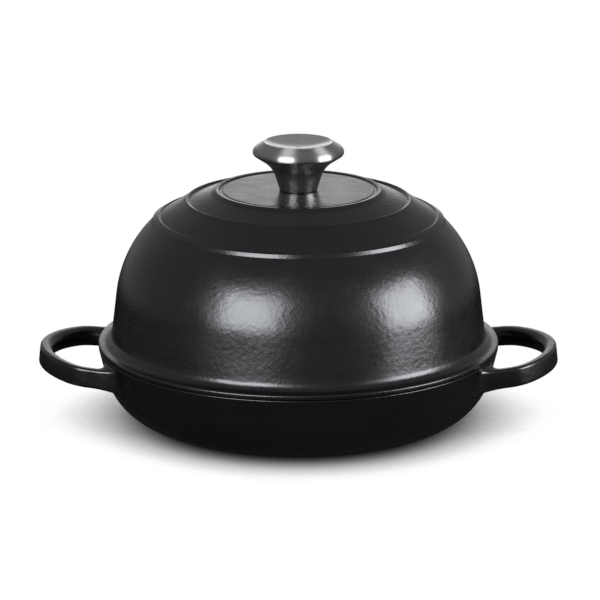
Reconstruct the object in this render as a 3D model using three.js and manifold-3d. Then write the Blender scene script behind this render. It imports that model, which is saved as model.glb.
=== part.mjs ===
// A lidded cast iron bread pan: a shallow pan with two loop handles, a domed lid and a steel knob.
// Millimetres, +Z up. The pan stands on z = 0, its round axis is Z and its handles lie along X.
import * as THREE from "three";
import { mergeVertices } from "three/addons/utils/BufferGeometryUtils.js";
import Module from "manifold-3d";

const rad = THREE.MathUtils.degToRad;

// Clearances
const SEAT_GAP = 0.3; // between the lid's flange and the pan's rim
const FACE_GAP = 0.1; // between stacked faces of the knob's fixing
const FIT_GAP = 0.3; // round a piece that sits inside another
const LIP_CLEARANCE = 1.2; // round the lid's lip in the pan's mouth

// Smoothness of the round surfaces
const CASTING_SIDES = 48;
const KNOB_SIDES = 32;
const FASTENER_SIDES = 20;
const FACET = 0.25; // greatest depth of a flat on a rounded corner
const CURVE_STEPS = 4;
const MERGE = 1e-3; // points closer than this are one point

// Seat of the lid on the pan: the rim is as wide as the lid's flange
const DOME_FOOT_RADIUS = 120.4;
const FLANGE_WIDTH = 7.6;
const RIM_RADIUS = DOME_FOOT_RADIUS + FLANGE_WIDTH;

// Pan
const PAN_HEIGHT = 47;
const PAN_DRAFT = rad(14);
const PAN_CORNER = 38;
const PAN_WALL = 5.5;
const PAN_FLOOR = 5;
const RIM_EDGE = 0.9;
const RIDGE_RADII = [24, 44, 64];
const RIDGE_WIDTH = 4;
const RIDGE_HEIGHT = 1.2;

// Loop handles
const HANDLE_REACH = 38.9; // from the rim to the tip
const HANDLE_SPAN = 104; // across the two roots
const HANDLE_TAPER = rad(5.5);
const HANDLE_STRAP = 9;
const HANDLE_HEIGHT = 12.6;
const HANDLE_EDGE = 2.4;
const GRIP_EDGE = 4; // of the strap's inner side, where the fingers go
const HANDLE_CORNER = 24;
const TIP_RADIUS = 60;
const HANDLE_DROP = 3; // from the rim's top down to the handle's top
const HANDLE_LIFT = rad(6.5);
const ROOT_FLARE = 9; // widening of the strap where it meets the wall
const ROOT_LENGTH = 12;

// Lid
const FLANGE_THICKNESS = 3.1;
const FLANGE_EDGE = 1;
const FLANGE_RISE = 0.5; // from the flange's edge up to the foot of the dome
const FOOT_FILLET = 6;
const LIP_DEPTH = 4;
const DOME_DRAFT = rad(7);
const SHOULDER_HEIGHT = 61.5;
const SHOULDER_RADIUS = 75.5;
const DOME_WALL = 3.8;
const CAP_BLEND = 20;
const OUTER_RING_RADIUS = 92.6; // of a ring's outer edge
const OUTER_RING_HEIGHT = 82.6; // of that edge
const OUTER_RING_FALL = 2.4; // height of the step outside it
const OUTER_RING_RUN = 0.8; // width of that step
const OUTER_RING_TOP = 3.9; // width of the ring's top
const OUTER_RING_RISE = 2.4; // of its top, from the outer edge inwards
const MIDDLE_RING_RADIUS = 71.2;
const MIDDLE_RING_HEIGHT = 95.5;
const MIDDLE_RING_FALL = 1.7;
const MIDDLE_RING_RUN = 1.7;
const MIDDLE_RING_TOP = 2.2;
const MIDDLE_RING_RISE = 0.8;
const INNER_RING_RADIUS = 52.5;
const INNER_RING_HEIGHT = 101.7;
const INNER_RING_FALL = 2.3;
const INNER_RING_RUN = 1.8;
const INNER_RING_TOP = 2.6;
const INNER_RING_RISE = 0.2;
const RING_EDGE = 0.6;
const RING_DROP = 0.8; // height and width of the step inside each ring
const HOLE_CLEARANCE = 0.5;

// Knob
const NECK_RADIUS = 11.9;
const NECK_LEAN = rad(17.2);
const BEND_HEIGHT = 15.1;
const BEND_RADIUS = 19;
const FLARE_RISE = rad(33.4);
const BRIM_UNDERSIDE = 23.4; // height of the brim's lower edge
const BRIM_LOWER_EDGE = 2.3;
const BRIM_BAND = 3.5; // from the lower edge up to the upper one
const BRIM_LEAN = rad(9);
const BRIM_UPPER_EDGE = 4;
const KNOB_HEIGHT = 31.4;
const DISH_RIM_RADIUS = 21.4;
const DISH_DEPTH = 3.2;
const SHELL_WALL = 1.6;
const LEDGE_WIDTH = 1.5;
const LEDGE_THICKNESS = 1.5;
const DISC_THICKNESS = 1.4;

// Fixing of the knob
const SCREW_RADIUS = 3;
const THREAD_LENGTH = 9; // of the screw inside the bush
const HEAD_RADIUS = 6;
const HEAD_HEIGHT = 3.8;
const HEAD_EDGE = 1.2;
const RECESS_LENGTH = 5.6;
const RECESS_WIDTH = 1.2;
const RECESS_DEPTH = 1.9;
const BUSH_HEIGHT = 13;
const BORE_DEPTH = 11;
const FLAT_WASHER_RADIUS = 9;
const FLAT_WASHER_THICKNESS = 1.2;
const SPRING_WASHER_RADIUS = 5.5;
const SPRING_WASHER_THICKNESS = 1.6;
const SPRING_WASHER_SPLIT = rad(8);

const wasm = await Module();
wasm.setup();

// A corner of an outline, with the radius that rounds it.
const at = (x, y, radius = 0) => ({ point: new THREE.Vector2(x, y), radius });

// The points of an outline with its corners rounded. A radius is limited by the sides that it joins.
function rounded(corners) {
  return corners.flatMap(({ point, radius }, i) => {
    const before = corners[i - 1];
    const after = corners[i + 1];
    if (!radius || !before || !after) return [point];
    const back = before.point.clone().sub(point);
    const ahead = after.point.clone().sub(point);
    const half = back.angleTo(ahead) / 2;
    const backRoom = back.length() * (before.radius ? 0.5 : 1);
    const aheadRoom = ahead.length() * (after.radius ? 0.5 : 1);
    const fitted = Math.min(radius, Math.min(backRoom, aheadRoom) * Math.tan(half));
    back.normalize();
    ahead.normalize();
    const centre = back.clone().add(ahead).setLength(fitted / Math.sin(half)).add(point);
    const start = point.clone().addScaledVector(back, fitted / Math.tan(half)).sub(centre);
    const sweep = -Math.sign(back.cross(ahead)) * (Math.PI - 2 * half);
    const facet = Math.min(FACET, fitted / 4);
    const steps = Math.ceil(Math.abs(sweep) / (2 * Math.acos(1 - facet / fitted)));
    const origin = new THREE.Vector2();
    return Array.from({ length: steps + 1 }, (_, step) =>
      start.clone().rotateAround(origin, (sweep * step) / steps).add(centre),
    );
  });
}

// The corners of an outline moved a distance to its left, each with the radius that keeps it parallel.
function parallel(corners, distance) {
  const normals = corners.slice(1).map(({ point }, i) => {
    const along = point.clone().sub(corners[i].point).normalize();
    return new THREE.Vector2(-along.y, along.x);
  });
  return corners.map(({ point, radius }, i) => {
    const first = normals[i - 1] ?? normals[i];
    const second = normals[i] ?? first;
    const mitre = first.clone().add(second).multiplyScalar(distance / (1 + first.dot(second)));
    const turn = Math.sign(first.cross(second));
    return { point: point.clone().add(mitre), radius: radius && Math.max(0, radius - turn * distance) };
  });
}

// A turned body: the profile is in radius and height, and runs with the material on its left.
const turned = (profile, sides) => new THREE.LatheGeometry(profile, sides).rotateX(Math.PI / 2);

// A turned ring: its profile closes on itself.
const turnedRing = (profile, sides) => turned([...profile, profile[0].clone()], sides);

function solid(geometry) {
  const bare = geometry.index ? geometry.toNonIndexed() : geometry.clone();
  bare.deleteAttribute("normal");
  bare.deleteAttribute("uv");
  const merged = mergeVertices(bare, MERGE);
  const vertProperties = merged.attributes.position.array;
  const triVerts = new Uint32Array(merged.index.array);
  return new wasm.Manifold(new wasm.Mesh({ numProp: 3, vertProperties, triVerts }));
}

function geometryOf(body) {
  const { vertProperties, triVerts } = body.getMesh();
  return new THREE.BufferGeometry()
    .setAttribute("position", new THREE.BufferAttribute(vertProperties, 3))
    .setIndex(new THREE.BufferAttribute(triVerts, 1))
    .toNonIndexed();
}

function piece(name, geometry, material) {
  const mesh = new THREE.Mesh(geometry, material);
  mesh.name = name;
  return mesh;
}

// Finishes
const blackEnamel = new THREE.MeshStandardMaterial({ color: 0x1c1b1d, roughness: 0.35, metalness: 0.1 });
const knobSteel = new THREE.MeshStandardMaterial({ color: 0xb4b4b6, roughness: 0.3, metalness: 1 });
const screwSteel = new THREE.MeshStandardMaterial({ color: 0x9c9ca0, roughness: 0.4, metalness: 1 });

// Pan: a leaning wall on a large round corner, with the handles cast on and low ridges on its floor.
const wallRun = Math.tan(PAN_DRAFT);
const wallAcross = PAN_WALL / Math.cos(PAN_DRAFT);
const footCorner = RIM_RADIUS - PAN_HEIGHT * wallRun;
const mouthRadius = RIM_RADIUS - wallAcross;
const floorCorner = footCorner + PAN_FLOOR * wallRun - wallAcross;

function panOutside() {
  return rounded([
    at(0, 0),
    at(footCorner, 0, PAN_CORNER),
    at(RIM_RADIUS, PAN_HEIGHT, RIM_EDGE),
    at(0, PAN_HEIGHT),
  ]);
}

function panInside() {
  const ridgeTop = PAN_FLOOR + RIDGE_HEIGHT;
  const ridges = RIDGE_RADII.flatMap((radius) => [
    at(radius - RIDGE_WIDTH / 2, PAN_FLOOR),
    at(radius - RIDGE_WIDTH / 4, ridgeTop),
    at(radius + RIDGE_WIDTH / 4, ridgeTop),
    at(radius + RIDGE_WIDTH / 2, PAN_FLOOR),
  ]);
  return rounded([
    at(0, PAN_FLOOR),
    ...ridges,
    at(floorCorner, PAN_FLOOR, PAN_CORNER - PAN_WALL),
    at(mouthRadius - RIM_EDGE * wallRun, PAN_HEIGHT - RIM_EDGE),
    at(mouthRadius + RIM_EDGE, PAN_HEIGHT),
    at(mouthRadius + RIM_EDGE, PAN_HEIGHT + PAN_WALL),
    at(0, PAN_HEIGHT + PAN_WALL),
  ]);
}

// The handle's course from one root round the tip to the other: points of its outer side, the way
// inwards from each, and the strap's width there. The sides taper to a corner arc and a wide tip arc.
function handleCourse() {
  const rootY = HANDLE_SPAN / 2;
  const root = new THREE.Vector2(Math.sqrt(RIM_RADIUS ** 2 - rootY ** 2), rootY);
  const along = new THREE.Vector2(Math.cos(HANDLE_TAPER), -Math.sin(HANDLE_TAPER));
  const inward = new THREE.Vector2(-Math.sin(HANDLE_TAPER), -Math.cos(HANDLE_TAPER));
  const tipCentre = new THREE.Vector2(RIM_RADIUS + HANDLE_REACH - TIP_RADIUS, 0);
  const fromTip = root.clone().addScaledVector(inward, HANDLE_CORNER).sub(tipCentre);
  const behind = fromTip.dot(along);
  const reach = (TIP_RADIUS - HANDLE_CORNER) ** 2 - fromTip.lengthSq() + behind ** 2;
  const cornerOffset = fromTip.addScaledVector(along, Math.sqrt(reach) - behind);
  const sideAngle = Math.PI / 2 - HANDLE_TAPER;
  const tipAngle = cornerOffset.angle();
  const cornerCentre = cornerOffset.add(tipCentre);

  const onSide = (distance, width) => ({
    outer: root.clone().addScaledVector(along, distance),
    inward,
    width,
  });
  const onArc = (centre, radius, angle) => {
    const outward = new THREE.Vector2(Math.cos(angle), Math.sin(angle));
    const outer = centre.clone().addScaledVector(outward, radius);
    return { outer, inward: outward.negate(), width: HANDLE_STRAP };
  };
  const onCorner = (angle) => onArc(cornerCentre, HANDLE_CORNER, angle);
  const onTip = (angle) => onArc(tipCentre, TIP_RADIUS, angle);
  const shares = Array.from({ length: CURVE_STEPS }, (_, step) => step / CURVE_STEPS);
  const half = [
    onSide(-2 * PAN_WALL, HANDLE_STRAP + ROOT_FLARE),
    onSide(0, HANDLE_STRAP + ROOT_FLARE),
    onSide(ROOT_LENGTH / 2, HANDLE_STRAP + ROOT_FLARE / 4),
    onSide(ROOT_LENGTH, HANDLE_STRAP),
    ...shares.map((share) => onCorner(THREE.MathUtils.lerp(sideAngle, tipAngle, share))),
    ...shares.map((share) => onTip(THREE.MathUtils.lerp(tipAngle, 0, share))),
  ];
  const mirror = new THREE.Vector2(1, -1);
  const otherHalf = half.map(({ outer, inward, width }) => ({
    outer: outer.clone().multiply(mirror),
    inward: inward.clone().multiply(mirror),
    width,
  }));
  return [...half, onTip(0), ...otherHalf.reverse()];
}

// A solid through rings of equally many points, with flat ends.
function loft(rings) {
  const first = rings[0];
  const last = rings.at(-1);
  const corners = [];
  rings.slice(1).forEach((ring, i) => {
    ring.forEach((point, k) => {
      const next = (k + 1) % ring.length;
      corners.push(rings[i][k], rings[i][next], ring[next]);
      corners.push(rings[i][k], ring[next], point);
    });
  });
  for (let k = 2; k < first.length; k++) {
    corners.push(first[0], first[k], first[k - 1]);
    corners.push(last[0], last[k - 1], last[k]);
  }
  return new THREE.BufferGeometry().setFromPoints(corners);
}

function handle() {
  const sections = handleCourse().map(({ outer, inward, width }) => {
    const section = rounded([
      at(0, HANDLE_HEIGHT / 2),
      at(0, HANDLE_HEIGHT, HANDLE_EDGE),
      at(width, HANDLE_HEIGHT, GRIP_EDGE),
      at(width, 0, GRIP_EDGE),
      at(0, 0, HANDLE_EDGE),
      at(0, HANDLE_HEIGHT / 2),
    ]).slice(1);
    return section.map(({ x, y }) => new THREE.Vector3(outer.x + inward.x * x, outer.y + inward.y * x, y));
  });
  const underside = PAN_HEIGHT - HANDLE_DROP - HANDLE_HEIGHT;
  return loft(sections)
    .translate(-RIM_RADIUS, 0, 0)
    .rotateY(-HANDLE_LIFT)
    .translate(RIM_RADIUS, 0, underside);
}

function basePan() {
  const outside = solid(turned(panOutside(), CASTING_SIDES));
  const inside = solid(turned(panInside(), CASTING_SIDES));
  const rightHandle = solid(handle());
  const leftHandle = solid(handle().rotateZ(Math.PI));
  return geometryOf(outside.add(rightHandle).add(leftHandle).subtract(inside));
}

// Lid: heights are measured from the flange's underside. The rings go from the outer one inwards.
const lidRings = [
  {
    radius: OUTER_RING_RADIUS,
    height: OUTER_RING_HEIGHT,
    fall: OUTER_RING_FALL,
    run: OUTER_RING_RUN,
    top: OUTER_RING_TOP,
    rise: OUTER_RING_RISE,
  },
  {
    radius: MIDDLE_RING_RADIUS,
    height: MIDDLE_RING_HEIGHT,
    fall: MIDDLE_RING_FALL,
    run: MIDDLE_RING_RUN,
    top: MIDDLE_RING_TOP,
    rise: MIDDLE_RING_RISE,
  },
  {
    radius: INNER_RING_RADIUS,
    height: INNER_RING_HEIGHT,
    fall: INNER_RING_FALL,
    run: INNER_RING_RUN,
    top: INNER_RING_TOP,
    rise: INNER_RING_RISE,
  },
];
const plateau = INNER_RING_HEIGHT + INNER_RING_RISE - RING_DROP;
const holeRadius = SCREW_RADIUS + HOLE_CLEARANCE;
const shoulderRadius = DOME_FOOT_RADIUS - SHOULDER_HEIGHT * Math.tan(DOME_DRAFT);
const crownUnderside = plateau - DOME_WALL;

function domeLid() {
  const flangeTop = FLANGE_THICKNESS + FLANGE_RISE;
  const domeFoot = DOME_FOOT_RADIUS - flangeTop * Math.tan(DOME_DRAFT);
  const shoulder = at(shoulderRadius, SHOULDER_HEIGHT, SHOULDER_RADIUS);
  const steps = lidRings.flatMap(({ radius, height, fall, run, top, rise }) => [
    at(radius + run, height - fall),
    at(radius, height, RING_EDGE),
    at(radius - top, height + rise),
    at(radius - top - RING_DROP, height + rise - RING_DROP),
  ]);
  const outside = [
    at(RIM_RADIUS, 0),
    at(RIM_RADIUS, FLANGE_THICKNESS, FLANGE_EDGE),
    at(domeFoot, flangeTop, FOOT_FILLET),
    shoulder,
    ...steps,
    at(holeRadius, plateau),
  ];
  const outerFeet = lidRings.slice(0, -1).map(({ radius, height, fall, run }) =>
    at(radius + run, height - fall, CAP_BLEND),
  );
  const smoothOutside = [
    at(DOME_FOOT_RADIUS, 0),
    shoulder,
    ...outerFeet,
    at(INNER_RING_RADIUS, plateau, CAP_BLEND),
    at(holeRadius, plateau),
  ];
  const inside = parallel(smoothOutside, DOME_WALL).reverse();
  const lipTop = mouthRadius - LIP_CLEARANCE;
  const lip = [
    at(inside.at(-1).point.x, -LIP_DEPTH),
    at(lipTop - LIP_DEPTH * wallRun, -LIP_DEPTH),
    at(lipTop, 0),
  ];
  return turnedRing(rounded([...outside, ...inside, ...lip]), CASTING_SIDES);
}

// Knob: heights are measured from its seat on the lid. The shell's cavity follows its outside.
const bendOut = NECK_RADIUS + BEND_HEIGHT * Math.tan(NECK_LEAN);
const brimOut = bendOut + (BRIM_UNDERSIDE - BEND_HEIGHT) / Math.tan(FLARE_RISE);
const brimTop = BRIM_UNDERSIDE + BRIM_BAND;
const brimTopOut = brimOut - BRIM_BAND * Math.tan(BRIM_LEAN);
const crownSlope = (KNOB_HEIGHT - brimTop) / (brimTopOut - DISH_RIM_RADIUS);
const discSeat = KNOB_HEIGHT - DISC_THICKNESS;
const socketRadius = DISH_RIM_RADIUS - SHELL_WALL;
const ledgeRadius = socketRadius - LEDGE_WIDTH;
const neckBore = NECK_RADIUS - SHELL_WALL / Math.cos(NECK_LEAN);

function knobShell() {
  const neck = at(NECK_RADIUS, 0);
  const bend = at(bendOut, BEND_HEIGHT, BEND_RADIUS);
  const lowerBrim = at(brimOut, BRIM_UNDERSIDE, BRIM_LOWER_EDGE);
  const upperBrim = at(brimTopOut, brimTop, BRIM_UPPER_EDGE);
  const rim = at(DISH_RIM_RADIUS, KNOB_HEIGHT);
  const wallInside = parallel([neck, bend, lowerBrim, upperBrim, rim], SHELL_WALL).slice(1, -1).reverse();
  const ledgeUnderside = discSeat - LEDGE_THICKNESS;
  const underCrown = wallInside[0].point;
  const cavityTop = underCrown.x - (ledgeUnderside - underCrown.y) / crownSlope;
  return turnedRing(
    rounded([
      neck,
      bend,
      lowerBrim,
      upperBrim,
      rim,
      at(socketRadius, KNOB_HEIGHT),
      at(socketRadius, discSeat),
      at(ledgeRadius, discSeat),
      at(ledgeRadius, ledgeUnderside),
      at(cavityTop, ledgeUnderside),
      ...wallInside,
      at(neckBore, 0),
    ]),
    KNOB_SIDES,
  );
}

function knobTopDisc() {
  const edge = socketRadius - FIT_GAP;
  const seat = discSeat + FACE_GAP;
  const dishFloor = KNOB_HEIGHT - DISH_DEPTH;
  const dishRadius = (DISH_RIM_RADIUS ** 2 + DISH_DEPTH ** 2) / (2 * DISH_DEPTH);
  const dishAt = (radius) => dishFloor + dishRadius - Math.sqrt(dishRadius ** 2 - radius ** 2);
  const steps = Array.from({ length: CURVE_STEPS + 1 }, (_, step) => step / CURVE_STEPS);
  const inLedge = ledgeRadius - FIT_GAP;
  const under = steps.map((share) => at(share * inLedge, dishAt(share * inLedge) - DISC_THICKNESS));
  const over = steps.map((share) => at(share * edge, dishAt(share * edge))).reverse();
  return turned(rounded([...under, at(inLedge, seat), at(edge, seat), ...over]), KNOB_SIDES);
}

function knobBush() {
  const outer = neckBore - FIT_GAP;
  const bore = SCREW_RADIUS + FIT_GAP;
  const profile = [at(0, BORE_DEPTH), at(bore, BORE_DEPTH), at(bore, 0), at(outer, 0)];
  return turned(rounded([...profile, at(outer, BUSH_HEIGHT), at(0, BUSH_HEIGHT)]), FASTENER_SIDES);
}

// Fixing: the washers and the screw hang under the crown, so their heights run down from it.
const flatWasherTop = crownUnderside - FACE_GAP;
const springWasherTop = flatWasherTop - FLAT_WASHER_THICKNESS - FACE_GAP;
const headTop = springWasherTop - SPRING_WASHER_THICKNESS - FACE_GAP;

function flatWasher() {
  const bottom = flatWasherTop - FLAT_WASHER_THICKNESS;
  const profile = [
    at(FLAT_WASHER_RADIUS, bottom),
    at(FLAT_WASHER_RADIUS, flatWasherTop),
    at(holeRadius, flatWasherTop),
    at(holeRadius, bottom),
  ];
  return turnedRing(rounded(profile), FASTENER_SIDES);
}

function springWasher() {
  const half = SPRING_WASHER_SPLIT / 2;
  const plan = new THREE.Shape()
    .absarc(0, 0, SPRING_WASHER_RADIUS, half, 2 * Math.PI - half, false)
    .absarc(0, 0, holeRadius, 2 * Math.PI - half, half, true)
    .closePath();
  const options = { depth: SPRING_WASHER_THICKNESS, curveSegments: FASTENER_SIDES / 2, bevelEnabled: false };
  const bottom = springWasherTop - SPRING_WASHER_THICKNESS;
  return new THREE.ExtrudeGeometry(plan, options).translate(0, 0, bottom);
}

function knobScrew() {
  const headBottom = headTop - HEAD_HEIGHT;
  const shankTop = plateau + FACE_GAP + THREAD_LENGTH;
  const profile = rounded([
    at(0, headBottom),
    at(HEAD_RADIUS, headBottom, HEAD_EDGE),
    at(HEAD_RADIUS, headTop),
    at(SCREW_RADIUS, headTop),
    at(SCREW_RADIUS, shankTop),
    at(0, shankTop),
  ]);
  const slot = new THREE.BoxGeometry(RECESS_LENGTH, RECESS_WIDTH, 2 * RECESS_DEPTH);
  slot.translate(0, 0, headBottom);
  const cross = solid(slot).add(solid(slot.clone().rotateZ(Math.PI / 2)));
  return geometryOf(solid(turned(profile, FASTENER_SIDES)).subtract(cross));
}

// Assembly
const knob = new THREE.Group();
knob.position.z = plateau + FACE_GAP;
knob.add(
  piece("knob_shell", knobShell(), knobSteel),
  piece("knob_top_disc", knobTopDisc(), knobSteel),
  piece("knob_bush", knobBush(), screwSteel),
);

const lid = new THREE.Group();
lid.position.z = PAN_HEIGHT + SEAT_GAP;
lid.add(
  piece("dome_lid", domeLid(), blackEnamel),
  knob,
  piece("flat_washer", flatWasher(), screwSteel),
  piece("spring_washer", springWasher(), screwSteel),
  piece("knob_screw", knobScrew(), screwSteel),
);

const breadPan = new THREE.Group();
breadPan.add(piece("base_pan", basePan(), blackEnamel), lid);

export default breadPan;
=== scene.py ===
import math

import bmesh
import bpy
from mathutils import Matrix, Vector


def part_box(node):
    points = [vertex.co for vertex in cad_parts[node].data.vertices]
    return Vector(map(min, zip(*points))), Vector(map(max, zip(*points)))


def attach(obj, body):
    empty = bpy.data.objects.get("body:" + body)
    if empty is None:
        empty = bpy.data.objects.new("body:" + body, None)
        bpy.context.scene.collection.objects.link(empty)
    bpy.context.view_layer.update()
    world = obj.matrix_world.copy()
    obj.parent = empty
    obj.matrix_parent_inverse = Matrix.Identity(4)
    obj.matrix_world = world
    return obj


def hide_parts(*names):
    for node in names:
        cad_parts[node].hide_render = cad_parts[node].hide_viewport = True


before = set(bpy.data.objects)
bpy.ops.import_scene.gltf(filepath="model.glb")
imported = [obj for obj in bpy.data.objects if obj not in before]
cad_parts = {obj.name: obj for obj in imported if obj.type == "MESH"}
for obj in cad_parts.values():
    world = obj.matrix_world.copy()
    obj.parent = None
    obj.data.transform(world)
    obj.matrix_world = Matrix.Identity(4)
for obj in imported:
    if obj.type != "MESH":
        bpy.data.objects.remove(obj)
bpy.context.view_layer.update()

# Studio. The pan stands on a small pale table before a white sweep, in a room that is dim in front.
# One softbox stands in front on the left, a second one lower at the right side.
scene = bpy.context.scene
scene.view_settings.view_transform = "Standard"

CAMERA_DISTANCE = 2.300
CAMERA_HEIGHT = 0.711
CAMERA_PITCH = math.radians(15.44)
CAMERA_LENS = 224.0
SENSOR_WIDTH = 36.0
PICTURE_WIDTH = 600
PAN_AXIS_COLUMN = 298.4

camera_data = bpy.data.cameras.new("camera")
camera_data.lens = CAMERA_LENS
camera_data.sensor_width = SENSOR_WIDTH
camera_data.shift_x = 0.5 - PAN_AXIS_COLUMN / PICTURE_WIDTH
camera = bpy.data.objects.new("camera", camera_data)
camera.location = (0, -CAMERA_DISTANCE, CAMERA_HEIGHT)
camera.rotation_euler = (math.pi / 2 - CAMERA_PITCH, 0, 0)
scene.collection.objects.link(camera)
scene.camera = camera


def add_node(tree, kind, **settings):
    """A new shader node with these settings."""
    node = tree.nodes.new("ShaderNode" + kind)
    for name, value in settings.items():
        setattr(node, name, value)
    return node


def calculate(tree, operation, *values):
    """The output of a Math node fed with sockets or numbers."""
    node = add_node(tree, "Math", operation=operation)
    for socket, value in zip(node.inputs, values):
        if isinstance(value, bpy.types.NodeSocket):
            tree.links.new(value, socket)
        else:
            socket.default_value = value
    return node.outputs[0]


def map_smoothly(tree, value, low, high, to_low=0.0, to_high=1.0):
    """The output of a smooth Map Range node."""
    node = add_node(tree, "MapRange", interpolation_type="SMOOTHSTEP")
    tree.links.new(value, node.inputs["Value"])
    for name, number in (("From Min", low), ("From Max", high), ("To Min", to_low), ("To Max", to_high)):
        node.inputs[name].default_value = number
    return node.outputs["Result"]


def light_room():
    """White to the eye, a soft even fill on the object, and in gloss a white sweep in a dim room."""
    FILL = 0.30
    DIM_ROOM = 0.30
    SWEEP = 1.5
    SWEEP_TOP = (0.26, 0.38)
    SWEEP_SIDE = (0.07, 0.26)
    HORIZON = (-0.22, -0.03)
    world = bpy.data.worlds.new("studio")
    world.use_nodes = True
    world.cycles.sampling_method = "NONE"
    scene.world = world
    tree = world.node_tree
    background = tree.nodes["Background"]
    path = add_node(tree, "LightPath")
    split = add_node(tree, "SeparateXYZ")
    tree.links.new(add_node(tree, "TexCoord").outputs["Generated"], split.inputs[0])
    aside = calculate(tree, "ABSOLUTE", split.outputs["X"])
    in_width = map_smoothly(tree, aside, *SWEEP_SIDE, 1.0, 0.0)
    at_back = calculate(tree, "GREATER_THAN", split.outputs["Y"], 0.0)
    behind = calculate(tree, "MULTIPLY", in_width, at_back)
    below_top = map_smoothly(tree, split.outputs["Z"], *SWEEP_TOP, 1.0, 0.0)
    above_table = map_smoothly(tree, split.outputs["Z"], *HORIZON)
    sweep = calculate(tree, "MULTIPLY", behind, below_top)
    room = calculate(tree, "MULTIPLY_ADD", sweep, SWEEP - DIM_ROOM, DIM_ROOM)
    in_gloss = calculate(tree, "MULTIPLY", room, above_table)
    gloss_share = calculate(tree, "MULTIPLY", path.outputs["Is Glossy Ray"], in_gloss)
    fill_share = calculate(tree, "MULTIPLY", path.outputs["Is Diffuse Ray"], FILL)
    seen = calculate(tree, "MAXIMUM", path.outputs["Is Camera Ray"], path.outputs["Is Transmission Ray"])
    strength = calculate(tree, "MAXIMUM", seen, calculate(tree, "ADD", gloss_share, fill_share))
    tree.links.new(strength, background.inputs["Strength"])
    background.inputs["Color"].default_value = (1, 1, 1, 1)


def softbox(name, from_front, elevation, width, height, radiance):
    """A softbox turned to the pan: degrees round from the front towards +X, degrees up, and metres."""
    DISTANCE = 1.3
    TARGET = Vector((0, 0, 0.09))
    round_by = math.radians(from_front)
    up_by = math.radians(elevation)
    away = Vector((math.sin(round_by), -math.cos(round_by), math.tan(up_by))).normalized()
    data = bpy.data.lights.new(name, "AREA")
    data.shape = "RECTANGLE"
    data.size = width
    data.size_y = height
    data.energy = radiance * math.pi * width * height
    lamp = bpy.data.objects.new(name, data)
    lamp.location = TARGET + away * DISTANCE
    lamp.rotation_euler = away.to_track_quat("Z", "Y").to_euler()
    lamp.visible_camera = False
    scene.collection.objects.link(lamp)


light_room()
softbox("left_softbox", from_front=-31, elevation=20, width=0.80, height=0.72, radiance=15.0)
softbox("right_softbox", from_front=71, elevation=14, width=0.75, height=0.75, radiance=15.0)


def new_surface(name):
    """A new material, its node tree and its Principled shader."""
    material = bpy.data.materials.new(name)
    material.use_nodes = True
    tree = material.node_tree
    return material, tree, tree.nodes["Principled BSDF"]


def pale_table():
    """A round white table top that fades into the sweep. To the eye it only glows, white with a painted
    shadow of even light round the pan's foot. In gloss it is painted dim, like the room in front."""
    RADIUS = 0.46
    FADE = (0.22, 0.42)
    WHITE = 0.93
    PAINTED_DIM_IN_GLOSS = 0.03
    PAINTED_LIGHT = 2.0
    SHADOW_REACH = 0.07
    SHADOW_DEPTH = 1.6
    mesh = bpy.data.meshes.new("table")
    top = bmesh.new()
    bmesh.ops.create_circle(top, cap_ends=True, radius=RADIUS, segments=96)
    top.to_mesh(mesh)
    top.free()
    material, tree, paint = new_surface("pale_table")
    paint.inputs["Roughness"].default_value = 0.9
    paint.inputs["Specular IOR Level"].default_value = 0.0
    paint.inputs["Emission Color"].default_value = (1, 1, 1, 1)
    path = add_node(tree, "LightPath")
    # In reflections the table shows a painted dim colour instead of its white.
    painted_gloss_shade = calculate(tree, "MULTIPLY_ADD", path.outputs["Is Glossy Ray"], PAINTED_DIM_IN_GLOSS - WHITE, WHITE)
    unseen = calculate(tree, "SUBTRACT", 1.0, path.outputs["Is Camera Ray"])
    tree.links.new(calculate(tree, "MULTIPLY", painted_gloss_shade, unseen), paint.inputs["Base Color"])
    # To the camera the table is an emission whose white is darkened by ambient occlusion: a painted
    # shadow.
    open_sky = add_node(tree, "AmbientOcclusion", samples=16)
    open_sky.inputs["Distance"].default_value = SHADOW_REACH
    painted_shadow = calculate(tree, "POWER", open_sky.outputs["AO"], SHADOW_DEPTH)
    painted_lit = calculate(tree, "MINIMUM", calculate(tree, "MULTIPLY", painted_shadow, PAINTED_LIGHT), 1.0)
    seen = calculate(tree, "MULTIPLY", painted_lit, path.outputs["Is Camera Ray"])
    tree.links.new(seen, paint.inputs["Emission Strength"])
    distance = add_node(tree, "VectorMath", operation="LENGTH")
    tree.links.new(add_node(tree, "TexCoord").outputs["Object"], distance.inputs[0])
    tree.links.new(map_smoothly(tree, distance.outputs["Value"], *FADE, 1.0, 0.0), paint.inputs["Alpha"])
    mesh.materials.append(material)
    table = bpy.data.objects.new("table", mesh)
    scene.collection.objects.link(table)


pale_table()

# Pan. One sand casting in iron, with a leaning wall on a large round corner, a flat foot and low rings
# on its floor, coated all over in satin black enamel. Both loop handles are cast on.
RIM_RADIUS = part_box("dome_lid")[1].x
PAN_HEIGHT = 0.047  # up to the rim, as the handles' tips rise above it
PAN_DRAFT = math.radians(14)
PAN_CORNER = 0.038
PAN_WALL = 0.0055
WALL_ACROSS = PAN_WALL / math.cos(PAN_DRAFT)
PAN_FLOOR = 0.005
RIM_EDGE = 0.0005
RIDGE_RADII = (0.064, 0.044, 0.024)
RIDGE_WIDTH = 0.004
RIDGE_HEIGHT = 0.0012
RIDGE_EDGE = 0.0007


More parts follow.
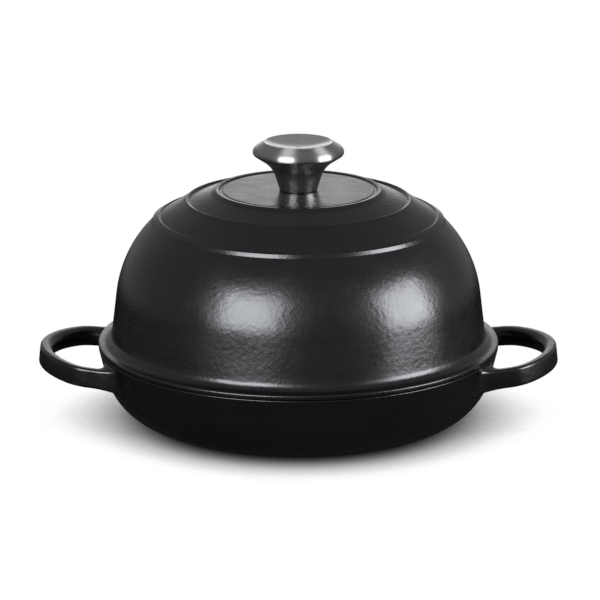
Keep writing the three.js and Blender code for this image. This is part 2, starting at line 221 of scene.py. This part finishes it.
def rounded(corners, closed=False):
    """The points of an outline whose corners, each (across, up, radius), are rounded."""
    WIDEST_STEP = math.radians(9)
    LONGEST_STEP = 0.003
    points = []
    for i, (across, up, radius) in enumerate(corners):
        corner = Vector((across, up))
        at_end = i in (0, len(corners) - 1)
        if not radius or at_end and not closed:
            points.append(corner)
            continue
        back = (Vector(corners[i - 1][:2]) - corner).normalized()
        ahead = (Vector(corners[(i + 1) % len(corners)][:2]) - corner).normalized()
        half = back.angle(ahead) / 2
        centre = corner + (back + ahead).normalized() * radius / math.sin(half)
        start = corner + back * radius / math.tan(half) - centre
        turn = math.copysign(math.pi - 2 * half, -back.cross(ahead))
        steps = math.ceil(abs(turn) / min(WIDEST_STEP, LONGEST_STEP / radius))
        points += [centre + Matrix.Rotation(turn * step / steps, 2) @ start for step in range(steps + 1)]
    return points


def divided(points, longest=0.004):
    """The same outline with its long sides divided."""
    result = [points[0]]
    for start, end in zip(points, points[1:]):
        steps = max(1, math.ceil((end - start).length / longest))
        result += [start.lerp(end, step / steps) for step in range(1, steps + 1)]
    return result


def make_object(name, form):
    """A smooth object from a bmesh, in the scene."""
    mesh = bpy.data.meshes.new(name)
    form.to_mesh(mesh)
    form.free()
    mesh.polygons.foreach_set("use_smooth", [True] * len(mesh.polygons))
    made = bpy.data.objects.new(name, mesh)
    scene.collection.objects.link(made)
    return made


def turned(name, outline, sides=288):
    """A turned body. The outline is in radius and height, with the material on its left."""
    ON_AXIS = 1e-6
    form = bmesh.new()
    angles = [2 * math.pi * k / sides for k in range(sides)]
    circle = [(math.cos(angle), math.sin(angle)) for angle in angles]
    rows = []
    for radius, height in outline:
        around = [(0, 0)] if radius < ON_AXIS else circle
        rows.append([form.verts.new((radius * x, radius * y, height)) for x, y in around])
    for low, high in zip(rows, rows[1:]):
        for k in range(sides):
            after = (k + 1) % sides
            lower = [low[k % len(low)], low[after % len(low)]]
            upper = [high[after % len(high)], high[k % len(high)]]
            form.faces.new(list(dict.fromkeys(lower + upper)))
    return make_object(name, form)


def pan_outline():
    """The pan's section from the middle of its foot over the rim to the middle of its floor."""
    run = math.tan(PAN_DRAFT)
    foot = RIM_RADIUS - PAN_HEIGHT * run
    ridges = []
    for radius in RIDGE_RADII:
        ridges += [
            (radius + RIDGE_WIDTH / 2, PAN_FLOOR, RIDGE_EDGE),
            (radius + RIDGE_WIDTH / 4, PAN_FLOOR + RIDGE_HEIGHT, RIDGE_EDGE),
            (radius - RIDGE_WIDTH / 4, PAN_FLOOR + RIDGE_HEIGHT, RIDGE_EDGE),
            (radius - RIDGE_WIDTH / 2, PAN_FLOOR, RIDGE_EDGE),
        ]
    return divided(rounded([
        (0, 0, 0),
        (foot, 0, PAN_CORNER),
        (RIM_RADIUS, PAN_HEIGHT, RIM_EDGE),
        (RIM_RADIUS - WALL_ACROSS, PAN_HEIGHT, RIM_EDGE),
        (foot + PAN_FLOOR * run - WALL_ACROSS, PAN_FLOOR, PAN_CORNER - PAN_WALL),
        *ridges,
        (0, PAN_FLOOR, 0),
    ]))


pan = turned("pan_casting", pan_outline())

# Loop handles. Flat straps with round edges that run out from the pan's wall, round a wide tip and back,
# rising a little. Their roots spread into the wall as cast fillets, so they are one piece with the pan.
HANDLE_REACH = 0.0388
HANDLE_SPAN = 0.104
HANDLE_TAPER = math.radians(5.5)
HANDLE_STRAP = 0.009
HANDLE_HEIGHT = 0.0126
HANDLE_EDGE = 0.0018
HANDLE_CORNER = 0.024
GRIP_EDGE = 0.0058
TIP_RADIUS = 0.060
HANDLE_DROP = 0.0030
HANDLE_UNDERSIDE = PAN_HEIGHT - HANDLE_DROP - HANDLE_HEIGHT
HANDLE_LIFT = math.radians(6.5)
ROOT_LENGTH = 0.013
ROOT_BURIED = 0.0028
ROOT_SPREAD_OUT = 0.005
ROOT_SPREAD_IN = 0.027
ROOT_SPREAD_UP = 0.0029
ROOT_SPREAD_DOWN = 0.0025
ROOT_WEB_EDGE = 0.0015


def strap_section(spread):
    """The strap's section as (across, up) points. Spread goes from 0 along the loop to 1 at the wall."""
    outer = -ROOT_SPREAD_OUT * spread
    inner = HANDLE_STRAP + ROOT_SPREAD_IN * spread
    under = -ROOT_SPREAD_DOWN * spread
    top = HANDLE_HEIGHT + ROOT_SPREAD_UP * spread
    grip_edge = GRIP_EDGE + (ROOT_WEB_EDGE - GRIP_EDGE) * spread
    corners = [
        (outer, under, HANDLE_EDGE),
        (outer, top, HANDLE_EDGE),
        (inner, top, grip_edge),
        (inner, under, grip_edge),
    ]
    return rounded(corners, closed=True)


def wall_radius(height):
    """The radius of the pan's outside at a height above its round corner."""
    return RIM_RADIUS - (PAN_HEIGHT - height) * math.tan(PAN_DRAFT)


def half_loop():
    """Rings of (outward, sideways, up) points from a root to the middle of the tip."""
    ROOT_STEPS = 14
    ARC_STEPS = 16
    root_y = HANDLE_SPAN / 2
    root = Vector((math.sqrt(RIM_RADIUS ** 2 - root_y ** 2), root_y))
    along = Vector((math.cos(HANDLE_TAPER), -math.sin(HANDLE_TAPER)))
    inward = Vector((-math.sin(HANDLE_TAPER), -math.cos(HANDLE_TAPER)))
    tip_centre = Vector((RIM_RADIUS + HANDLE_REACH - TIP_RADIUS, 0))
    offset = root + inward * HANDLE_CORNER - tip_centre
    behind = offset.dot(along)
    ahead = math.sqrt((TIP_RADIUS - HANDLE_CORNER) ** 2 - offset.length_squared + behind ** 2)
    offset += along * (ahead - behind)
    tip_angle = math.atan2(offset.y, offset.x)
    side_angle = math.pi / 2 - HANDLE_TAPER

    def to_wall(across, up):
        """How far along the side the wall's face lies for this point of the section."""
        start = root + inward * across
        reach = start.dot(along)
        wall = wall_radius(HANDLE_UNDERSIDE + up)
        return math.sqrt(wall ** 2 - start.length_squared + reach ** 2) - reach

    middle = to_wall(HANDLE_STRAP / 2, HANDLE_HEIGHT / 2)
    rings = []
    for step in range(ROOT_STEPS + 1):
        share = math.sin(math.pi / 2 * step / ROOT_STEPS) ** 2
        spread = 1 - math.sqrt(1 - (1 - share) ** 2)
        even = share * share * (3 - 2 * share)
        ring = []
        for across, up in strap_section(spread):
            wall = to_wall(across, up)
            distance = wall + (middle - wall) * even + ROOT_LENGTH * share
            if step == 0:
                distance -= ROOT_BURIED
            place = root + inward * across + along * distance
            ring.append(Vector((*place, up)))
        rings.append(ring)
    arcs = (
        (tip_centre + offset, HANDLE_CORNER, side_angle, tip_angle),
        (tip_centre, TIP_RADIUS, tip_angle, 0.0),
    )
    for centre, radius, first, last in arcs:
        for step in range(ARC_STEPS):
            angle = first + (last - first) * step / ARC_STEPS
            outward = Vector((math.cos(angle), math.sin(angle)))
            rings.append([
                Vector((*(centre + outward * (radius - across)), up)) for across, up in strap_section(0)
            ])
    return rings


def loop_handle(name, turn):
    """A whole handle, turned about the pan's axis."""
    half = half_loop()
    tip = [Vector((RIM_RADIUS + HANDLE_REACH - across, 0, up)) for across, up in strap_section(0)]
    other_half = [[Vector((p.x, -p.y, p.z)) for p in ring] for ring in reversed(half)]
    place = (
        Matrix.Rotation(turn, 4, "Z")
        @ Matrix.Translation((RIM_RADIUS, 0, HANDLE_UNDERSIDE))
        @ Matrix.Rotation(-HANDLE_LIFT, 4, "Y")
        @ Matrix.Translation((-RIM_RADIUS, 0, 0))
    )
    form = bmesh.new()
    rings = [[form.verts.new(place @ point) for point in ring] for ring in [*half, tip, *other_half]]
    for first, second in zip(rings, rings[1:]):
        for k in range(len(first)):
            form.faces.new((first[k - 1], first[k], second[k], second[k - 1]))
    form.faces.new(rings[0][::-1])
    form.faces.new(rings[-1])
    bmesh.ops.recalc_face_normals(form, faces=form.faces)
    return make_object(name, form)


def join_castings(body, *others):
    """The union of closed bodies, kept as one mesh in the first of them."""
    for other in others:
        union = body.modifiers.new(other.name, "BOOLEAN")
        union.operation = "UNION"
        union.solver = "MANIFOLD"
        union.object = other
    depsgraph = bpy.context.evaluated_depsgraph_get()
    joined = bpy.data.meshes.new_from_object(body.evaluated_get(depsgraph))
    body.modifiers.clear()
    body.data = joined
    for other in others:
        bpy.data.objects.remove(other)
    joined.polygons.foreach_set("use_smooth", [True] * len(joined.polygons))


join_castings(pan, loop_handle("right_handle", 0), loop_handle("left_handle", math.pi))

NOISE_RANGE = (0.3, 0.7)


def noise(tree, coordinates, scale, detail=2.0):
    """A noise, nearly all of it in NOISE_RANGE, with about as many waves to the metre as its scale."""
    node = add_node(tree, "TexNoise")
    node.inputs["Scale"].default_value = scale
    node.inputs["Detail"].default_value = detail
    tree.links.new(coordinates, node.inputs["Vector"])
    return node.outputs["Fac"]


def bumped(tree, height, depth, strength, under=None):
    """The normal of a surface with this bump on it, over another bump if one is given."""
    node = add_node(tree, "Bump")
    node.inputs["Distance"].default_value = depth
    node.inputs["Strength"].default_value = strength
    tree.links.new(height, node.inputs["Height"])
    if under:
        tree.links.new(under, node.inputs["Normal"])
    return node.outputs["Normal"]


def satin_black_enamel():
    """Near-black glass enamel: a soft sheen over a slightly pebbled, uneven coat."""
    DARKEST = (0.0013, 0.0009, 0.0012, 1)
    LIGHTEST = (0.0028, 0.0019, 0.0027, 1)
    ROUGHNESS = (0.24, 0.30)
    CLOUDS = 26
    SHEEN_PATCHES = 60
    PEBBLES = 330
    GRIT = 1500
    material, tree, coat = new_surface("satin_black_enamel")
    coat.inputs["Specular IOR Level"].default_value = 0.5
    coat.inputs["Specular Tint"].default_value = (0.93, 0.96, 1.0, 1)
    place = add_node(tree, "TexCoord").outputs["Object"]
    colour = add_node(tree, "ValToRGB")
    colour.color_ramp.elements[0].color = DARKEST
    colour.color_ramp.elements[1].color = LIGHTEST
    tree.links.new(noise(tree, place, CLOUDS), colour.inputs["Fac"])
    tree.links.new(colour.outputs["Color"], coat.inputs["Base Color"])
    sheen = map_smoothly(tree, noise(tree, place, SHEEN_PATCHES, detail=4), *NOISE_RANGE, *ROUGHNESS)
    tree.links.new(sheen, coat.inputs["Roughness"])
    pebbled = bumped(tree, noise(tree, place, PEBBLES, detail=1), depth=0.0004, strength=0.27)
    gritty = bumped(tree, noise(tree, place, GRIT), depth=0.0001, strength=0.05, under=pebbled)
    tree.links.new(gritty, coat.inputs["Normal"])
    return material


enamel = satin_black_enamel()
pan.data.materials.clear()
pan.data.materials.append(enamel)
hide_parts("base_pan")
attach(pan, "pan")

# Dome lid. A second enamelled casting: a flat flange that sits on the pan's rim, a tall drafted dome
# with a large round shoulder, and three raised rings that step up to a flat crown round the knob.
LIP_DEPTH = 0.004
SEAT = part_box("dome_lid")[0].z + LIP_DEPTH
LIP_CLEARANCE = 0.0012
FLANGE_THICKNESS = 0.0031
FLANGE_EDGE = 0.001
FLANGE_RISE = 0.0005
FLANGE_WIDTH = 0.0076
FOOT_FILLET = 0.006
DOME_DRAFT = math.radians(7)
DOME_WALL = 0.0038
SHOULDER_HEIGHT = 0.0615
SHOULDER_RADIUS = 0.0755
CROWN_BLEND = 0.020
OUTER_RING = dict(radius=0.0926, height=0.0826, fall=0.0024, run=0.0008, top=0.0039, rise=0.0024)
MIDDLE_RING = dict(radius=0.0712, height=0.0955, fall=0.0017, run=0.0017, top=0.0014, rise=-0.0005)
INNER_RING = dict(radius=0.0525, height=0.1017, fall=0.0023, run=0.0030, top=0.0021, rise=-0.0002)
RING_DROP = 0.0008
CROWN_HEIGHT = 0.1011
CROWN_EDGE = 0.0478
RING_EDGE = 0.0005
RING_FOOT = 0.0006
HOLE_RADIUS = 0.0035


def moved_left(corners, distance):
    """Corners of the parallel outline at a distance to the left, with radii that keep it parallel."""
    normals = []
    for start, end in zip(corners, corners[1:]):
        along = (Vector(end[:2]) - Vector(start[:2])).normalized()
        normals.append(Vector((-along.y, along.x)))
    result = []
    for i, (across, up, radius) in enumerate(corners):
        first = normals[max(i - 1, 0)]
        second = normals[min(i, len(normals) - 1)]
        place = Vector((across, up)) + (first + second) * distance / (1 + first.dot(second))
        turn = math.copysign(1, first.cross(second))
        result.append((*place, max(0, radius - turn * distance) if radius else 0))
    return result


def ring_corners(radius, height, fall, run, top, rise):
    """A ring's section from its foot up its outer face, over its top and down inside it."""
    inner = radius - top
    return [
        (radius + run, height - fall, RING_FOOT),
        (radius, height, RING_EDGE),
        (inner, height + rise, RING_EDGE),
        (inner - RING_DROP, height + rise - RING_DROP, RING_FOOT),
    ]


def lid_outline():
    """The lid's section, closed round its wall. Its corners' heights are from the flange's underside."""
    dome_foot = RIM_RADIUS - FLANGE_WIDTH
    flange_top = FLANGE_THICKNESS + FLANGE_RISE
    shoulder = (dome_foot - SHOULDER_HEIGHT * math.tan(DOME_DRAFT), SHOULDER_HEIGHT, SHOULDER_RADIUS)
    outside = [
        (RIM_RADIUS, 0, FLANGE_EDGE),
        (RIM_RADIUS, FLANGE_THICKNESS, FLANGE_EDGE),
        (dome_foot - flange_top * math.tan(DOME_DRAFT), flange_top, FOOT_FILLET),
        shoulder,
    ]
    for ring in (OUTER_RING, MIDDLE_RING, INNER_RING):
        outside += ring_corners(**ring)
    groove_floor = outside[-1][1]
    groove_slope = CROWN_HEIGHT - groove_floor
    outside += [
        (CROWN_EDGE + groove_slope, groove_floor, RING_FOOT),
        (CROWN_EDGE, CROWN_HEIGHT, RING_EDGE),
        (HOLE_RADIUS, CROWN_HEIGHT, 0),
    ]
    smooth = [(dome_foot, 0, 0), shoulder]
    smooth += [(*ring_corners(**ring)[0][:2], CROWN_BLEND) for ring in (OUTER_RING, MIDDLE_RING)]
    smooth += [(INNER_RING["radius"], CROWN_HEIGHT, CROWN_BLEND), (HOLE_RADIUS, CROWN_HEIGHT, 0)]
    inside = moved_left(smooth, DOME_WALL)[::-1]
    lip = RIM_RADIUS - WALL_ACROSS - LIP_CLEARANCE
    lip_foot = lip - LIP_DEPTH * math.tan(PAN_DRAFT)
    under = [
        (inside[-1][0], -LIP_DEPTH, FLANGE_EDGE / 2),
        (lip_foot, -LIP_DEPTH, FLANGE_EDGE / 2),
        (lip, 0, FLANGE_EDGE / 2),
    ]
    points = rounded([*outside, *inside[:-1], *under], closed=True)
    return [Vector((radius, height + SEAT)) for radius, height in divided([*points, points[0]])]


lid = turned("lid_casting", lid_outline())
lid.data.materials.append(enamel)
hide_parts("dome_lid")
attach(lid, "lid")

# Knob. A hollow shell spun from stainless steel, flared like a trumpet, with a dished disc welded into
# its top and polished flush. A screw from inside the dome draws its neck down on to the crown.
KNOB_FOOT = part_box("knob_shell")[0].z
KNOB_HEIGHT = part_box("knob_shell")[1].z - KNOB_FOOT
NECK_RADIUS = 0.0119
NECK_LEAN = math.radians(17.2)
NECK_FOOT_EDGE = 0.0009
NECK_BORE = 0.0101
BORE_DEPTH = 0.0135
BEND_HEIGHT = 0.0151
BEND_RADIUS = 0.019
FLARE_RISE = math.radians(33.4)
BRIM_UNDERSIDE = 0.0234
BRIM_LOWER_EDGE = 0.0023
BRIM_BAND = 0.0035
BRIM_LEAN = math.radians(9)
BRIM_UPPER_EDGE = 0.004
DISH_RIM_RADIUS = 0.0214
DISH_RIM_EDGE = 0.0008
DISH_FLOOR_RADIUS = 0.011
DISH_DEPTH = 0.0042
DISH_CORNER = 0.045
# The steels' tones are painted light: the neck and dish are painted lighter, the brim darker.
KNOB_STEELS = (
    dict(name="satin_steel_painted_lighter", tone_with_painted_light=0.57, anisotropy=0.2, roughness=(0.20, 0.25)),
    dict(name="brushed_steel_painted_darker", tone_with_painted_light=0.36, anisotropy=0.95, roughness=(0.35, 0.40)),
    dict(name="spun_steel_painted_lighter", tone_with_painted_light=0.57, anisotropy=0.6, roughness=(0.22, 0.28)),
)
NECK, BRIM, DISH = range(len(KNOB_STEELS))


def knob_outline():
    """The knob's section from the top of its bore round the outside to the middle of its dish."""
    bend = NECK_RADIUS + BEND_HEIGHT * math.tan(NECK_LEAN)
    brim = bend + (BRIM_UNDERSIDE - BEND_HEIGHT) / math.tan(FLARE_RISE)
    dish_floor = KNOB_HEIGHT - DISH_DEPTH
    outline = rounded([
        (0, BORE_DEPTH, 0),
        (NECK_BORE, BORE_DEPTH, 0),
        (NECK_BORE, 0, 0),
        (NECK_RADIUS, 0, NECK_FOOT_EDGE),
        (bend, BEND_HEIGHT, BEND_RADIUS),
        (brim, BRIM_UNDERSIDE, BRIM_LOWER_EDGE),
        (brim - BRIM_BAND * math.tan(BRIM_LEAN), BRIM_UNDERSIDE + BRIM_BAND, BRIM_UPPER_EDGE),
        (DISH_RIM_RADIUS, KNOB_HEIGHT, DISH_RIM_EDGE),
        (DISH_FLOOR_RADIUS, dish_floor, DISH_CORNER),
        (0, dish_floor, 0),
    ])
    return [Vector((radius, height + KNOB_FOOT)) for radius, height in divided(outline, longest=0.001)]


def polished_steel(name, tone_with_painted_light, anisotropy, roughness):
    """Stainless steel with the fine rings of polishing on a lathe. Roughness is (least, most)."""
    UNEVEN = 0.05
    PATCHES = 90
    STREAKS = 2600
    ROUND_THE_AXIS = 0.25
    material, tree, steel = new_surface(name)
    steel.inputs["Metallic"].default_value = 1.0
    steel.inputs["Anisotropic"].default_value = anisotropy
    steel.inputs["Anisotropic Rotation"].default_value = ROUND_THE_AXIS
    place = add_node(tree, "TexCoord").outputs["Object"]
    split = add_node(tree, "SeparateXYZ")
    tree.links.new(place, split.inputs[0])
    flat = add_node(tree, "CombineXYZ")
    tree.links.new(split.outputs["X"], flat.inputs["X"])
    tree.links.new(split.outputs["Y"], flat.inputs["Y"])
    radius = add_node(tree, "VectorMath", operation="LENGTH")
    tree.links.new(flat.outputs[0], radius.inputs[0])
    rings = add_node(tree, "CombineXYZ")
    tree.links.new(radius.outputs["Value"], rings.inputs["X"])
    tree.links.new(split.outputs["Z"], rings.inputs["Y"])
    streaks = noise(tree, rings.outputs[0], STREAKS, detail=3)
    colour = add_node(tree, "ValToRGB")
    # The grey tone carries painted light, set lighter or darker for each zone of the knob.
    for element, grey in zip(colour.color_ramp.elements, (tone_with_painted_light - UNEVEN, tone_with_painted_light + UNEVEN)):
        element.color = (grey, grey, grey, 1)
    tree.links.new(noise(tree, place, PATCHES), colour.inputs["Fac"])
    tree.links.new(colour.outputs["Color"], steel.inputs["Base Color"])
    tree.links.new(map_smoothly(tree, streaks, *NOISE_RANGE, *roughness), steel.inputs["Roughness"])
    tree.links.new(bumped(tree, streaks, depth=0.00003, strength=0.1), steel.inputs["Normal"])
    tangent = add_node(tree, "Tangent", direction_type="RADIAL", axis="Z")
    tree.links.new(tangent.outputs[0], steel.inputs["Tangent"])
    return material


knob = turned("knob_shell_and_disc", knob_outline(), sides=192)
for steel in KNOB_STEELS:
    knob.data.materials.append(polished_steel(**steel))
# Lit and shaded copies of one steel: painted lighter on the neck and dish, painted darker on the brim.
for face in knob.data.polygons:
    if face.center.z < KNOB_FOOT + BRIM_UNDERSIDE:
        face.material_index = NECK
    else:
        face.material_index = BRIM if face.center.xy.length > DISH_RIM_RADIUS else DISH
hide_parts("knob_shell", "knob_top_disc")
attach(knob, "lid")

# Fixing of the knob. Under the crown a steel screw with a crossed head, on a spring washer and a flat
# washer, goes up through the lid into the bush in the knob's neck.


def bright_screw_steel():
    """Rolled stainless steel with small scuffs."""
    ROUGHNESS = (0.25, 0.45)
    SCUFFS = 900
    SCRATCHES = 1800
    material, tree, steel = new_surface("bright_screw_steel")
    steel.inputs["Metallic"].default_value = 1.0
    steel.inputs["Base Color"].default_value = (0.5, 0.5, 0.52, 1)
    place = add_node(tree, "TexCoord").outputs["Object"]
    sheen = map_smoothly(tree, noise(tree, place, SCUFFS, detail=3), *NOISE_RANGE, *ROUGHNESS)
    tree.links.new(sheen, steel.inputs["Roughness"])
    scratched = bumped(tree, noise(tree, place, SCRATCHES), depth=0.00004, strength=0.3)
    tree.links.new(scratched, steel.inputs["Normal"])
    return material


screw_steel = bright_screw_steel()
for name in ("knob_bush", "knob_screw", "flat_washer", "spring_washer"):
    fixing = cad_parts[name]
    fixing.data.materials.clear()
    fixing.data.materials.append(screw_steel)
